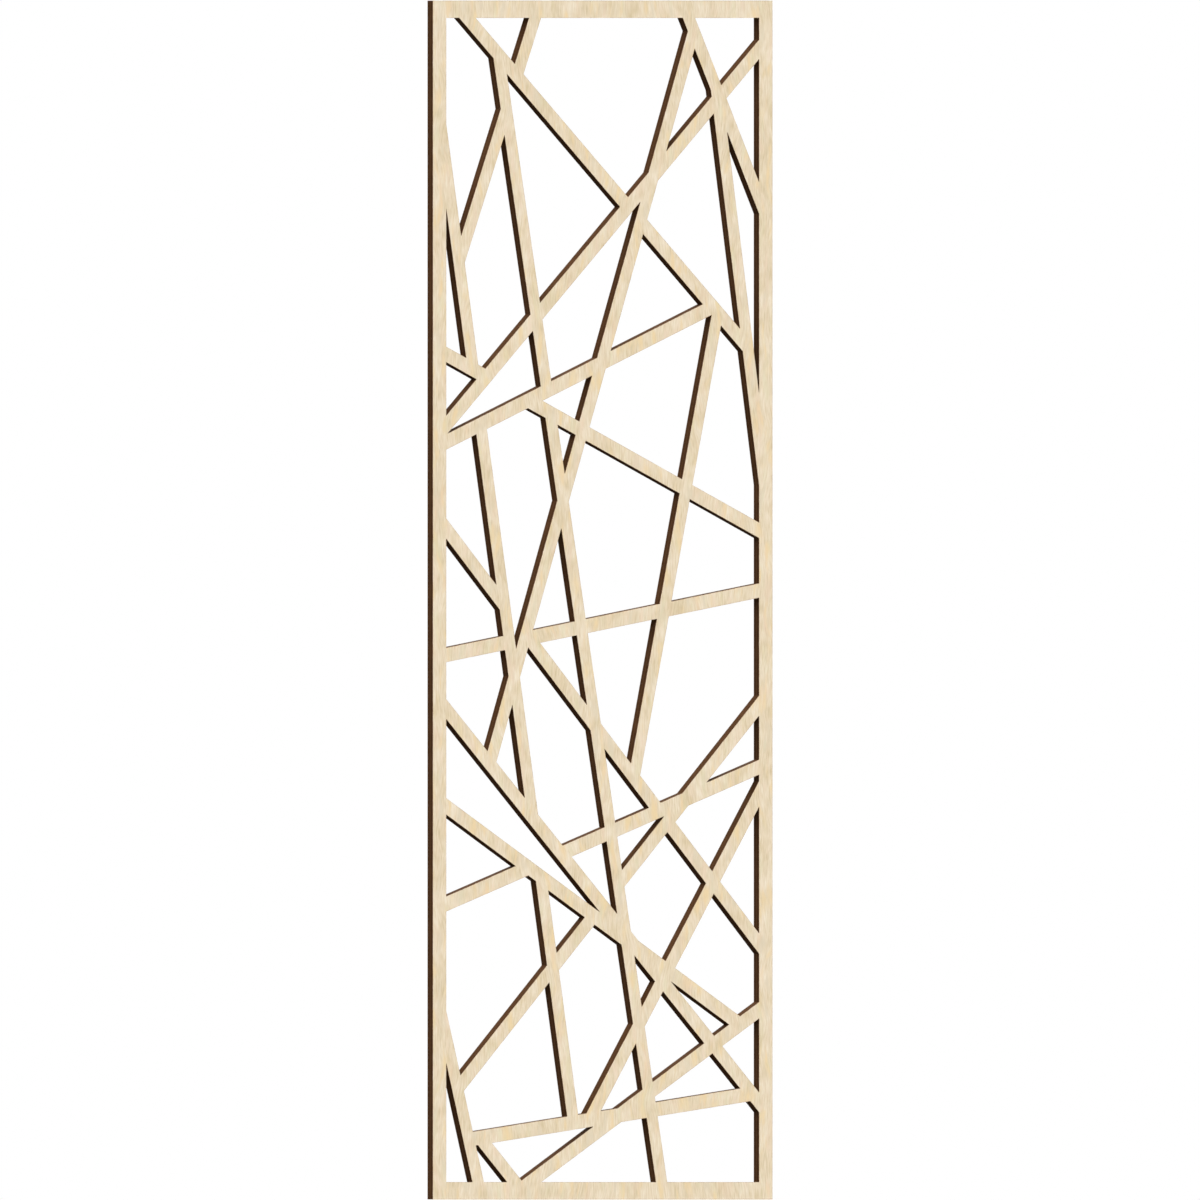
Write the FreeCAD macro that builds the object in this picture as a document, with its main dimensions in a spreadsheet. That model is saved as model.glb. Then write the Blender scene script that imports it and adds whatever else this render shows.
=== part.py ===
import FreeCAD, Part
import os
from collections import namedtuple

# Fretwork panel: one sheet of five-ply plywood, cut right through so that straight bars cross inside a
# border. Millimetres, +Z up. The front looks towards -Y, the back face lies in Y = 0 and the lower edge
# stands on Z = 0.

SIZES = {
    "panel_width": 330.0,
    "panel_height": 900.0,
    "border_width": 13.0,
    "bar_width": 10.7,
    "face_ply_thickness": 1.15,
    "cross_ply_thickness": 1.35,
    "core_ply_thickness": 1.35,
}

# A fret is a straight centreline between two stations on the middle of the border. A station on the left
# or right is a height above the lower edge, in percent of the panel's height. One on the top or bottom is a
# distance from the left edge, in percent of its width. So a panel of another size gets the same pattern,
# stretched to fit. Wood lies along the fret only in its runs, each between two stops: an end of the fret, or
# another fret.
Fret = namedtuple("Fret", "start finish runs")

RISING_FRETS = {
    "a": Fret(("bottom", 37.4), ("right", 96.3), [("q", "n")]),
    "b": Fret(("left", 21.2), ("top", 78.6), [("o", "r")]),
    "c": Fret(("left", 73.0), ("top", 30.9), [("u", "t"), ("n", "top")]),
    "d": Fret(("bottom", 35.3), ("right", 34.9), [("k", "right")]),
    "e": Fret(("left", 7.3), ("right", 41.9), [("s", "m"), ("t", "right")]),
    "f": Fret(("left", 63.9), ("right", 96.6), [("left", "right")]),
    "g": Fret(("bottom", 25.3), ("right", 16.2), [("bottom", "right")]),
    "h": Fret(("left", 62.9), ("right", 76.7), [("left", "n")]),
    "i": Fret(("left", 24.4), ("right", 36.3), [("left", "m"), ("o", "right")]),
    "j": Fret(("left", 45.3), ("right", 50.9), [("left", "u"), ("b", "right")]),
    "k": Fret(("left", 4.6), ("right", 9.0), [("s", "o")]),
}

FALLING_FRETS = {
    "l": Fret(("left", 70.8), ("right", 55.5), [("left", "f"), ("h", "right")]),
    "m": Fret(("left", 33.2), ("right", 13.0), [("left", "g")]),
    "n": Fret(("top", 8.0), ("right", 69.3), [("top", "f"), ("b", "v")]),
    "o": Fret(("left", 41.6), ("right", 7.4), [("left", "right")]),
    "p": Fret(("left", 9.4), ("bottom", 26.2), [("k", "bottom")]),
    "q": Fret(("left", 56.7), ("right", 20.6), [("left", "u"), ("b", "i"), ("e", "right")]),
    "r": Fret(("top", 74.4), ("right", 82.1), [("top", "right")]),
    "s": Fret(("left", 16.1), ("bottom", 13.9), [("left", "bottom")]),
    "t": Fret(("top", 17.4), ("bottom", 67.7), [("n", "h"), ("l", "bottom")]),
    "u": Fret(("left", 90.4), ("bottom", 44.1), [("left", "l"), ("h", "o"), ("m", "k")]),
    "v": Fret(("top", 80.6), ("right", 58.8), [("r", "right")]),
}

FRETS = {**RISING_FRETS, **FALLING_FRETS}

# A ply has a name and the cell that holds its thickness
Ply = namedtuple("Ply", "name cell")

# From the back face to the front face
PLIES = [
    Ply("back_face_ply", "face_ply_thickness"),
    Ply("back_cross_ply", "cross_ply_thickness"),
    Ply("core_ply", "core_ply_thickness"),
    Ply("front_cross_ply", "cross_ply_thickness"),
    Ply("front_face_ply", "face_ply_thickness"),
]


# Thickness of a stack of plies, as a length
def stack_thickness(plies):
    cells = [f"dims.{ply.cell}" for ply in plies]
    return f"({' + '.join(cells) or '0'}) * 1 mm"


# Fill the sheet with one named cell for each driving dimension
def add_sheet(doc):
    sheet = doc.addObject("Spreadsheet::Sheet", "dims")
    cells = dict(SIZES)
    for name, fret in FRETS.items():
        cells[f"fret_{name}_start"] = fret.start[1]
        cells[f"fret_{name}_finish"] = fret.finish[1]
    for row, (alias, value) in enumerate(cells.items(), start=1):
        sheet.set(f"A{row}", alias)
        sheet.set(f"B{row}", str(value))
        sheet.setAlias(f"B{row}", alias)
    doc.recompute()


# X and Z of a station on the middle of the border
def station_point(side, cell):
    across = f"dims.panel_width * ({cell} / 100 - 1 / 2)"
    above = f"dims.panel_height * {cell} / 100"
    return {
        "left": ("dims.border_width / 2 - dims.panel_width / 2", above),
        "right": ("dims.panel_width / 2 - dims.border_width / 2", above),
        "bottom": (across, "dims.border_width / 2"),
        "top": (across, "dims.panel_height - dims.border_width / 2"),
    }[side]


# Draw a fret's centreline from its start to its finish
def add_fret(doc, name, fret):
    line = doc.addObject("Part::Line", f"fret_{name}")
    x_start, z_start = station_point(fret.start[0], f"dims.fret_{name}_start")
    x_finish, z_finish = station_point(fret.finish[0], f"dims.fret_{name}_finish")
    line.Y1 = line.Y2 = 0
    line.setExpression("X1", x_start)
    line.setExpression("Z1", z_start)
    line.setExpression("X2", x_finish)
    line.setExpression("Z2", z_finish)


# Share of a fret's length, from its start, at which a stop lies
def stop_share(name, stop):
    fret = FRETS[name]
    if stop == fret.start[0]:
        return "0"
    if stop == fret.finish[0]:
        return "1"
    own, other = f"fret_{name}", f"fret_{stop}"
    own_x, own_z = f"({own}.X2 - {own}.X1)", f"({own}.Z2 - {own}.Z1)"
    other_x, other_z = f"({other}.X2 - {other}.X1)", f"({other}.Z2 - {other}.Z1)"
    apart_x, apart_z = f"({other}.X1 - {own}.X1)", f"({other}.Z1 - {own}.Z1)"
    reach = f"({apart_x} * {other_z} - {apart_z} * {other_x})"
    return f"{reach} / ({own_x} * {other_z} - {own_z} * {other_x})"


# Lay a bar of wood along one run of a fret, with its ends inside the border or the frets that it meets
def add_bar(doc, name, number, run):
    fret = f"fret_{name}"
    shares = "; ".join(stop_share(name, stop) for stop in run)
    first, last = f"min({shares})", f"max({shares})"
    fret_x, fret_z = f"{fret}.X2 - {fret}.X1", f"{fret}.Z2 - {fret}.Z1"
    fret_length = f"hypot({fret_x}; {fret_z})"
    start = f"vector({fret}.X1; 0 mm; {fret}.Z1)"
    slope = f"rotation(vector(0; -1; 0); atan2({fret_z}; {fret_x}))"
    corner = f"vector({fret_length} * {first}; -{stack_thickness(PLIES)}; -dims.bar_width / 2 * 1 mm)"
    level = "rotation(vector(0; -1; 0); 0)"
    bar = doc.addObject("Part::Box", f"bar_{name}_{number}")
    bar.setExpression("Length", f"{fret_length} * ({last} - {first})")
    bar.setExpression("Width", stack_thickness(PLIES))
    bar.setExpression("Height", "dims.bar_width")
    bar.setExpression("Placement", f"placement({start}; {slope}) * placement({corner}; {level})")
    return bar


# A block an inset away from each edge of the panel, as thick as some plies and with others behind it
def add_block(doc, name, inset, plies, plies_behind):
    block = doc.addObject("Part::Box", name)
    block.setExpression("Length", f"dims.panel_width - 2 * {inset}")
    block.setExpression("Width", stack_thickness(plies))
    block.setExpression("Height", f"dims.panel_height - 2 * {inset}")
    block.setExpression("Placement.Base.x", f"{inset} - dims.panel_width / 2")
    block.setExpression("Placement.Base.y", f"-{stack_thickness(plies_behind + plies)}")
    block.setExpression("Placement.Base.z", inset)
    return block


def add_border(doc):
    border = doc.addObject("Part::Cut", "border")
    border.Base = add_block(doc, "panel_blank", "0", PLIES, [])
    border.Tool = add_block(doc, "border_window", "dims.border_width", PLIES, [])
    return border


# The fretwork that every ply is cut to, through the whole sheet
def add_fretwork(doc):
    shapes = [add_border(doc)]
    for name, fret in FRETS.items():
        add_fret(doc, name, fret)
    for name, fret in FRETS.items():
        for number, run in enumerate(fret.runs, start=1):
            shapes.append(add_bar(doc, name, number, run))
    fretwork = doc.addObject("Part::MultiFuse", "fretwork")
    fretwork.Shapes = shapes
    fretwork.Refine = True
    return fretwork


# One ply of the sheet, lying on the plies behind it
def add_ply(doc, ply, plies_behind, fretwork):
    cut_ply = doc.addObject("Part::Common", ply.name)
    cut_ply.Label = ply.name
    cut_ply.Base = add_block(doc, f"{ply.name}_veneer", "0", [ply], plies_behind)
    cut_ply.Tool = fretwork
    cut_ply.Refine = True
    return cut_ply


def check_objects(doc, plies):
    for item in doc.Objects:
        if "Invalid" in item.State or "Error" in item.State:
            raise RuntimeError(f"{item.Name} did not build")
    for ply in plies:
        shape = ply.Shape
        if shape.isNull() or not shape.isValid() or len(shape.Solids) != 1:
            raise RuntimeError(f"{ply.Label} is not one valid solid")


def main():
    doc = FreeCAD.newDocument("fretwork_panel")
    add_sheet(doc)
    fretwork = add_fretwork(doc)
    plies = [add_ply(doc, ply, PLIES[:index], fretwork) for index, ply in enumerate(PLIES)]
    doc.recompute()
    check_objects(doc, plies)
    os.makedirs("parts", exist_ok=True)
    for ply in plies:
        ply.Shape.exportStep(f"parts/{ply.Label}.step")
        print(ply.Label, ply.Shape.BoundBox, round(ply.Shape.Volume, 1), len(ply.Shape.Faces))


main()
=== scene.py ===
"""Looks of the fretwork panel: pale veneer faces, browned cut walls, a pale floor and soft studio light."""

import math
from collections import namedtuple

import bpy
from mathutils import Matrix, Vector


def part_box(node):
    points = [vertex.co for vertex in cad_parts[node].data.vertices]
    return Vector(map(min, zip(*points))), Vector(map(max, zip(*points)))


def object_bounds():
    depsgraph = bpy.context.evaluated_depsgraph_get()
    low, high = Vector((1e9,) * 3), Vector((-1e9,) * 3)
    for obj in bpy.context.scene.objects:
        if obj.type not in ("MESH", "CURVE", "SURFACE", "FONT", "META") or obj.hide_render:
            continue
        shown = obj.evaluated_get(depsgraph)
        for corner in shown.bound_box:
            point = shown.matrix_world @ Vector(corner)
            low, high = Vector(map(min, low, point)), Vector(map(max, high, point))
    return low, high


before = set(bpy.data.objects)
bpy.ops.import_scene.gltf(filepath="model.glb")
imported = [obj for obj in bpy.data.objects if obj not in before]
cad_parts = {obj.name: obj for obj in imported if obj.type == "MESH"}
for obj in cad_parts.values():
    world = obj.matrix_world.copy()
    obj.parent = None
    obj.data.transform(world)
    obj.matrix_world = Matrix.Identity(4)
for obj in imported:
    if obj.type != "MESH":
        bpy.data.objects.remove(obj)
cad_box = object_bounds()

MM = 0.001

# The photograph is square, and the panel fills its height but for a pixel
PHOTO_SIDE_PX = 1200.0
PANEL_HEIGHT_PX = 1198.8
CAMERA_AZIMUTH = math.radians(-39.41)
CAMERA_DISTANCE = 3.0

# Directions of the grain: upright in the faces and the core, across in the plies between them
UPRIGHT = (0.0, 0.0, 1.0)
ACROSS = (1.0, 0.0, 0.0)
OUT_OF_BACK = (0.0, 1.0, 0.0)


# One channel of a screen colour, from 0 to 255, as linear light
def linear_channel(level):
    share = level / 255.0
    return share / 12.92 if share <= 0.04045 else ((share + 0.055) / 1.055) ** 2.4


def screen_colour(red, green, blue):
    return (linear_channel(red), linear_channel(green), linear_channel(blue), 1.0)


def grey(level):
    return (level, level, level, 1.0)


# Tones of the grain from dark to light, the tints that drift over them, and the pores with the share of
# their colour that shows. The shift gives each veneer a pattern of its own.
FRONT_VENEER = {
    "dark": screen_colour(216, 197, 159),
    "middle": screen_colour(233, 216, 187),
    "light": screen_colour(245, 232, 210),
    "golden": screen_colour(239, 215, 170),
    "silver": screen_colour(227, 213, 187),
    "rosy": screen_colour(238, 212, 186),
    "green": screen_colour(228, 220, 184),
    "pore": screen_colour(206, 182, 142),
    "pore_share": 0.5,
    "shift": 0.0,
}

BACK_VENEER = {
    "dark": screen_colour(207, 184, 142),
    "middle": screen_colour(226, 206, 172),
    "light": screen_colour(238, 221, 193),
    "golden": screen_colour(230, 200, 149),
    "silver": screen_colour(218, 202, 171),
    "rosy": screen_colour(230, 198, 170),
    "green": screen_colour(218, 207, 166),
    "pore": screen_colour(186, 158, 116),
    "pore_share": 0.6,
    "shift": 41.0,
}

# Noise drawn out into streaks of a width and a length. The place, where the noise is cut, keeps one pattern
# from repeating another.
Streak = namedtuple("Streak", "width length place detail", defaults=(2.0,))

# Below, an edge is a pair of values: a step starts at the first and is complete at the second

# Streaks that add up to the grain with their strengths, and the tones along the sum. Where every layer has
# its average noise, the tone is the middle one.
GRAIN_LAYERS = (
    (Streak(0.5 * MM, 10 * MM, 5.0), 0.32),
    (Streak(1.2 * MM, 10 * MM, 10.0), 0.62),
    (Streak(11 * MM, 18 * MM, 15.0), 0.50),
    (Streak(26 * MM, 60 * MM, 20.0), 0.26),
)
AVERAGE_NOISE = 0.5
MIDDLE_TONE = 0.5
TONE_STOPS = ((0.3, "dark"), (MIDDLE_TONE, "middle"), (0.7, "light"))

# The grain leans to and fro, and its streaks shift by up to this much
LEAN = Streak(60 * MM, 60 * MM, 0.0, detail=1.0)
LEAN_SHIFT = 22 * MM

# Tints that drift over a face, a warmer and a cooler one in each pair
Tint = namedtuple("Tint", "warmer cooler streak strength")
TINTS = (
    Tint("golden", "silver", Streak(8 * MM, 30 * MM, 25.0, detail=4.0), 0.9),
    Tint("rosy", "green", Streak(8 * MM, 30 * MM, 29.0, detail=4.0), 0.4),
)
WARMER_EDGE = (0.52, 0.70)
COOLER_EDGE = (0.46, 0.29)

PORES = Streak(0.45 * MM, 7 * MM, 35.0, detail=1.0)
PORE_EDGE = (0.62, 0.76)

# Wood browned by the beam, with charred lines through the sheet, paler patches, and glue between the plies
LONG_GRAIN_BROWN = screen_colour(98, 67, 43)
END_GRAIN_BROWN = screen_colour(77, 53, 34)
END_GRAIN_POWER = 2.0
CHAR = screen_colour(58, 36, 21)
CHAR_LINES = Streak(0.5 * MM, 12 * MM, 0.0)
CHAR_EDGE = (0.35, 0.7)
CHAR_SHARE = 0.35
PALE_BROWN = screen_colour(108, 75, 50)
PALE_PATCHES = Streak(14 * MM, 6 * MM, 4.0)
PALE_EDGE = (0.4, 0.7)
PALE_SHARE = 0.3
GLUE_LINE = screen_colour(48, 30, 17)
GLUE_EDGE = (0.16 * MM, 0.04 * MM)
GLUE_SHARE = 0.6

# Rim of a face that the beam's heat browned. Its edge is in the cosine of the angle between the face and the
# same face with rounded corners, and the heat's is in the noise along the cut.
RIM_BROWN = screen_colour(150, 104, 60)
RIM_REACH = 1.0 * MM
RIM_SAMPLES = 6
RIM_EDGE = (1.0, 0.75)
RIM_SHARE = 0.9
HEAT = Streak(7 * MM, 7 * MM, 11.0)
HEAT_EDGE = (0.25, 0.6)

# A surface whose normal lies this much along Y is a face, and any other is a cut wall
FACE_EDGE = (0.5, 0.8)

# Roughness where the relief is low and where it is high, and the finish that faces and walls share
FACE_ROUGHNESS = (0.62, 0.5)
WALL_ROUGHNESS = (0.95, 1.0)
SPECULAR_LEVEL = 0.03
BUMP_STRENGTH = 0.25
BUMP_DEPTH = 0.05 * MM

Look = namedtuple("Look", "material grain veneer")
PLY_LOOKS = {
    "front_face_ply": Look("front_veneer", UPRIGHT, FRONT_VENEER),
    "front_cross_ply": Look("front_cross_veneer", ACROSS, BACK_VENEER),
    "core_ply": Look("core_veneer", UPRIGHT, BACK_VENEER),
    "back_cross_ply": Look("back_cross_veneer", ACROSS, BACK_VENEER),
    "back_face_ply": Look("back_veneer", UPRIGHT, BACK_VENEER),
}

# A wide floor just under the panel, with a faint mottle of so many spots to the metre
FLOOR_WIDTH = 16.0
FLOOR_GAP = 0.1 * MM
FLOOR_SPOTS = (60.0, 60.0, 60.0)
FLOOR_DETAIL = 3.0
FLOOR_STOPS = ((0.3, screen_colour(184, 183, 181)), (0.7, screen_colour(188, 187, 185)))
FLOOR_ROUGHNESS = 0.8
FLOOR_SPECULAR_LEVEL = 0.2

# Brightness of the dome of light from straight below to straight above
DOME_STOPS = ((0.0, grey(0.162)), (0.5, grey(0.26)), (1.0, grey(0.504)))
WHITE = grey(1.0)

# One light for the front, one for the back, and a wide one above that lies nearly along the sheet, so that
# the bars shade one another. Each has the direction towards it, its strength and its spread in degrees.
Sun = namedtuple("Sun", "towards strength spread")
SUNS = {
    "front": Sun((-0.06, -0.99, 0.10), 1.5, 12.0),
    "top": Sun((-0.35, -0.12, 0.93), 3.3, 80.0),
    "back_fill": Sun((0.35, 0.88, 0.34), 2.2, 20.0),
}


class Graph:
    """The nodes of one material or world, made and linked by short calls that return an output socket."""

    def __init__(self, owner):
        owner.use_nodes = True
        self.tree = owner.node_tree
        self.tree.nodes.clear()

    # Unlike the other calls, this one returns the node itself
    def add(self, kind, inputs, **settings):
        node = self.tree.nodes.new("ShaderNode" + kind)
        for name, value in settings.items():
            setattr(node, name, value)
        for socket, value in inputs.items():
            if isinstance(value, bpy.types.NodeSocket):
                self.tree.links.new(value, node.inputs[socket])
            else:
                node.inputs[socket].default_value = value
        return node

    def math(self, operation, *values):
        return self.add("Math", dict(enumerate(values)), operation=operation).outputs[0]

    def vector_math(self, operation, first, second):
        node = self.add("VectorMath", {0: first, 1: second}, operation=operation)
        return node.outputs["Value" if operation == "DOT_PRODUCT" else "Vector"]

    def join(self, x, y, z):
        return self.add("CombineXYZ", {"X": x, "Y": y, "Z": z}).outputs[0]

    def split(self, vector):
        return self.add("SeparateXYZ", {0: vector}).outputs

    def noise(self, vector, detail):
        inputs = {"Vector": vector, "Scale": 1.0, "Detail": detail}
        return self.add("TexNoise", inputs).outputs["Fac"]

    # A smooth step from 0 to a height across an edge
    def step(self, value, edge, height=1.0):
        start, end = edge
        inputs = {"Value": value, "From Min": start, "From Max": end, "To Max": height}
        return self.add("MapRange", inputs, interpolation_type="SMOOTHSTEP").outputs["Result"]

    # A value from 0 to 1 spread over another range
    def spread(self, value, low, high):
        inputs = {"Value": value, "To Min": low, "To Max": high}
        return self.add("MapRange", inputs).outputs["Result"]

    # A Mix node has sockets of the same name for each type of data, so they are picked by number
    def mix_colours(self, share, first, second):
        return self.add("Mix", {0: share, 6: first, 7: second}, data_type="RGBA").outputs[2]

    def mix_values(self, share, first, second):
        return self.add("Mix", {0: share, 2: first, 3: second}, data_type="FLOAT").outputs[0]

    def ramp(self, value, stops):
        node = self.add("ValToRGB", {"Fac": value})
        elements = node.color_ramp.elements
        while len(elements) < len(stops):
            elements.new(0.5)
        for element, (place, colour) in zip(elements, stops):
            element.position = place
            element.color = colour
        return node.outputs["Color"]


# Noise from 0 to 1, drawn out along one direction
def streaks(graph, across, along, streak, shift=0.0):
    scaled_across = graph.math("DIVIDE", across, streak.width)
    scaled_along = graph.math("DIVIDE", along, streak.length)
    return graph.noise(graph.join(scaled_across, shift + streak.place, scaled_along), streak.detail)


# Colour and relief of a sanded veneer face: leaning streaks, drifting tints and fine pores
def veneer_face(graph, veneer):
    x, _, z = graph.split(graph.add("TexCoord", {}).outputs["Object"])
    shift = veneer["shift"]
    across = graph.math("MULTIPLY_ADD", streaks(graph, x, z, LEAN, shift), LEAN_SHIFT, x)
    tone = MIDDLE_TONE - AVERAGE_NOISE * sum(strength for _, strength in GRAIN_LAYERS)
    for streak, strength in GRAIN_LAYERS:
        tone = graph.math("MULTIPLY_ADD", streaks(graph, across, z, streak, shift), strength, tone)
    colour = graph.ramp(tone, [(place, veneer[name]) for place, name in TONE_STOPS])
    for tint in TINTS:
        drift = streaks(graph, across, z, tint.streak, shift)
        cooler_share = graph.step(drift, COOLER_EDGE, tint.strength)
        colour = graph.mix_colours(cooler_share, colour, veneer[tint.cooler])
        warmer_share = graph.step(drift, WARMER_EDGE, tint.strength)
        colour = graph.mix_colours(warmer_share, colour, veneer[tint.warmer])
    pores = streaks(graph, across, z, PORES, shift)
    pore_share = graph.step(pores, PORE_EDGE, veneer["pore_share"])
    relief = graph.math("SUBTRACT", tone, pore_share)
    return graph.mix_colours(pore_share, colour, veneer["pore"]), relief


# Share of brown on a face: most at the cut, uneven along it, and none beyond the heat's reach
def toasted_rim(graph):
    flat = graph.add("NewGeometry", {}).outputs["True Normal"]
    rounded = graph.add("Bevel", {"Radius": RIM_REACH}, samples=RIM_SAMPLES).outputs[0]
    nearness = graph.step(graph.vector_math("DOT_PRODUCT", flat, rounded), RIM_EDGE, RIM_SHARE)
    x, _, z = graph.split(graph.add("TexCoord", {}).outputs["Object"])
    heat = graph.step(streaks(graph, x, z, HEAT), HEAT_EDGE)
    return graph.math("MULTIPLY", nearness, heat)


# Colour and relief of a ply's cut walls: darker on end grain and towards the glue at its back and front,
# with fine lines through the thickness of the sheet
def browned_wall(graph, grain, back, front):
    coordinates = graph.add("TexCoord", {}).outputs
    place, normal = coordinates["Object"], coordinates["Normal"]
    end_grain = graph.math("ABSOLUTE", graph.vector_math("DOT_PRODUCT", normal, grain))
    end_grain_share = graph.math("POWER", end_grain, END_GRAIN_POWER)
    tangent = graph.vector_math("CROSS_PRODUCT", normal, OUT_OF_BACK)
    along_cut = graph.vector_math("DOT_PRODUCT", place, tangent)
    depth = graph.split(place)["Y"]
    lines = streaks(graph, along_cut, depth, CHAR_LINES)
    patches = streaks(graph, along_cut, depth, PALE_PATCHES)
    to_back, to_front = graph.math("SUBTRACT", back, depth), graph.math("SUBTRACT", depth, front)
    to_glue = graph.math("MINIMUM", to_back, to_front)
    brown = graph.mix_colours(end_grain_share, LONG_GRAIN_BROWN, END_GRAIN_BROWN)
    brown = graph.mix_colours(graph.step(lines, CHAR_EDGE, CHAR_SHARE), brown, CHAR)
    brown = graph.mix_colours(graph.step(patches, PALE_EDGE, PALE_SHARE), brown, PALE_BROWN)
    brown = graph.mix_colours(graph.step(to_glue, GLUE_EDGE, GLUE_SHARE), brown, GLUE_LINE)
    return brown, lines


# A ply shows its veneer on the front or back and browned wood on its cut walls
def ply_material(node, look):
    material = bpy.data.materials.new(look.material)
    graph = Graph(material)
    normal = graph.add("TexCoord", {}).outputs["Normal"]
    is_face = graph.step(graph.math("ABSOLUTE", graph.split(normal)["Y"]), FACE_EDGE)
    face, face_relief = veneer_face(graph, look.veneer)
    face = graph.mix_colours(toasted_rim(graph), face, RIM_BROWN)
    lowest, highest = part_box(node)
    wall, wall_relief = browned_wall(graph, look.grain, highest.y, lowest.y)
    face_roughness = graph.spread(face_relief, *FACE_ROUGHNESS)
    wall_roughness = graph.spread(wall_relief, *WALL_ROUGHNESS)
    bump = graph.add("Bump", {
        "Strength": BUMP_STRENGTH,
        "Distance": BUMP_DEPTH,
        "Height": graph.mix_values(is_face, wall_relief, face_relief),
    })
    shader = graph.add("BsdfPrincipled", {
        "Base Color": graph.mix_colours(is_face, wall, face),
        "Roughness": graph.mix_values(is_face, wall_roughness, face_roughness),
        "Normal": bump.outputs[0],
        "Specular IOR Level": SPECULAR_LEVEL,
    })
    graph.add("OutputMaterial", {"Surface": shader.outputs[0]})
    return material


def dress_plies():
    for node, look in PLY_LOOKS.items():
        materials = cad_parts[node].data.materials
        materials.clear()
        materials.append(ply_material(node, look))


def floor_material():
    material = bpy.data.materials.new("pale_floor")
    graph = Graph(material)
    place = graph.add("TexCoord", {}).outputs["Object"]
    mottle = graph.noise(graph.vector_math("MULTIPLY", place, FLOOR_SPOTS), FLOOR_DETAIL)
    shader = graph.add("BsdfPrincipled", {
        "Base Color": graph.ramp(mottle, FLOOR_STOPS),
        "Roughness": FLOOR_ROUGHNESS,
        "Specular IOR Level": FLOOR_SPECULAR_LEVEL,
    })
    graph.add("OutputMaterial", {"Surface": shader.outputs[0]})
    return material


# The floor throws no light up at the panel
def add_floor():
    height = cad_box[0][2] - FLOOR_GAP
    bpy.ops.mesh.primitive_plane_add(size=FLOOR_WIDTH, location=(0.0, 0.0, height))
    floor = bpy.context.object
    floor.name = "floor"
    floor.data.materials.append(floor_material())
    floor.visible_diffuse = False
    floor.visible_glossy = False


# A white backdrop on every side, and for the light itself a dome that is bright above and dim below. The
# height runs from -1 straight below to 1 straight above, and the climb from 0 to 1.
def add_world():
    world = bpy.data.worlds.new("studio")
    bpy.context.scene.world = world
    graph = Graph(world)
    height = graph.split(graph.add("TexCoord", {}).outputs["Generated"])["Z"]
    climb = graph.math("MULTIPLY_ADD", height, 0.5, 0.5)
    dome = graph.add("Background", {"Color": graph.ramp(climb, DOME_STOPS)})
    backdrop = graph.add("Background", {"Color": WHITE})
    seen = graph.add("LightPath", {}).outputs["Is Camera Ray"]
    shown = graph.add("MixShader", {0: seen, 1: dome.outputs[0], 2: backdrop.outputs[0]})
    graph.add("OutputWorld", {"Surface": shown.outputs[0]})


def add_suns():
    for name, sun in SUNS.items():
        light = bpy.data.lights.new(name, "SUN")
        light.energy = sun.strength
        light.angle = math.radians(sun.spread)
        lamp = bpy.data.objects.new(name, light)
        lamp.rotation_euler = Vector(sun.towards).to_track_quat("Z", "Y").to_euler()
        bpy.context.scene.collection.objects.link(lamp)


# Square on in height, turned to the panel's left, with no perspective
def add_camera():
    lowest, highest = Vector(cad_box[0]), Vector(cad_box[1])
    towards_camera = Vector((math.sin(CAMERA_AZIMUTH), -math.cos(CAMERA_AZIMUTH), 0.0))
    lens = bpy.data.cameras.new("camera")
    lens.type = "ORTHO"
    lens.ortho_scale = (highest.z - lowest.z) * PHOTO_SIDE_PX / PANEL_HEIGHT_PX
    camera = bpy.data.objects.new("camera", lens)
    camera.location = (lowest + highest) / 2 + CAMERA_DISTANCE * towards_camera
    camera.rotation_euler = towards_camera.to_track_quat("Z", "Y").to_euler()
    bpy.context.scene.collection.objects.link(camera)
    bpy.context.scene.camera = camera


def set_colours():
    view = bpy.context.scene.view_settings
    view.view_transform = "Standard"
    view.look = "None"


dress_plies()
add_floor()
add_world()
add_suns()
add_camera()
set_colours()
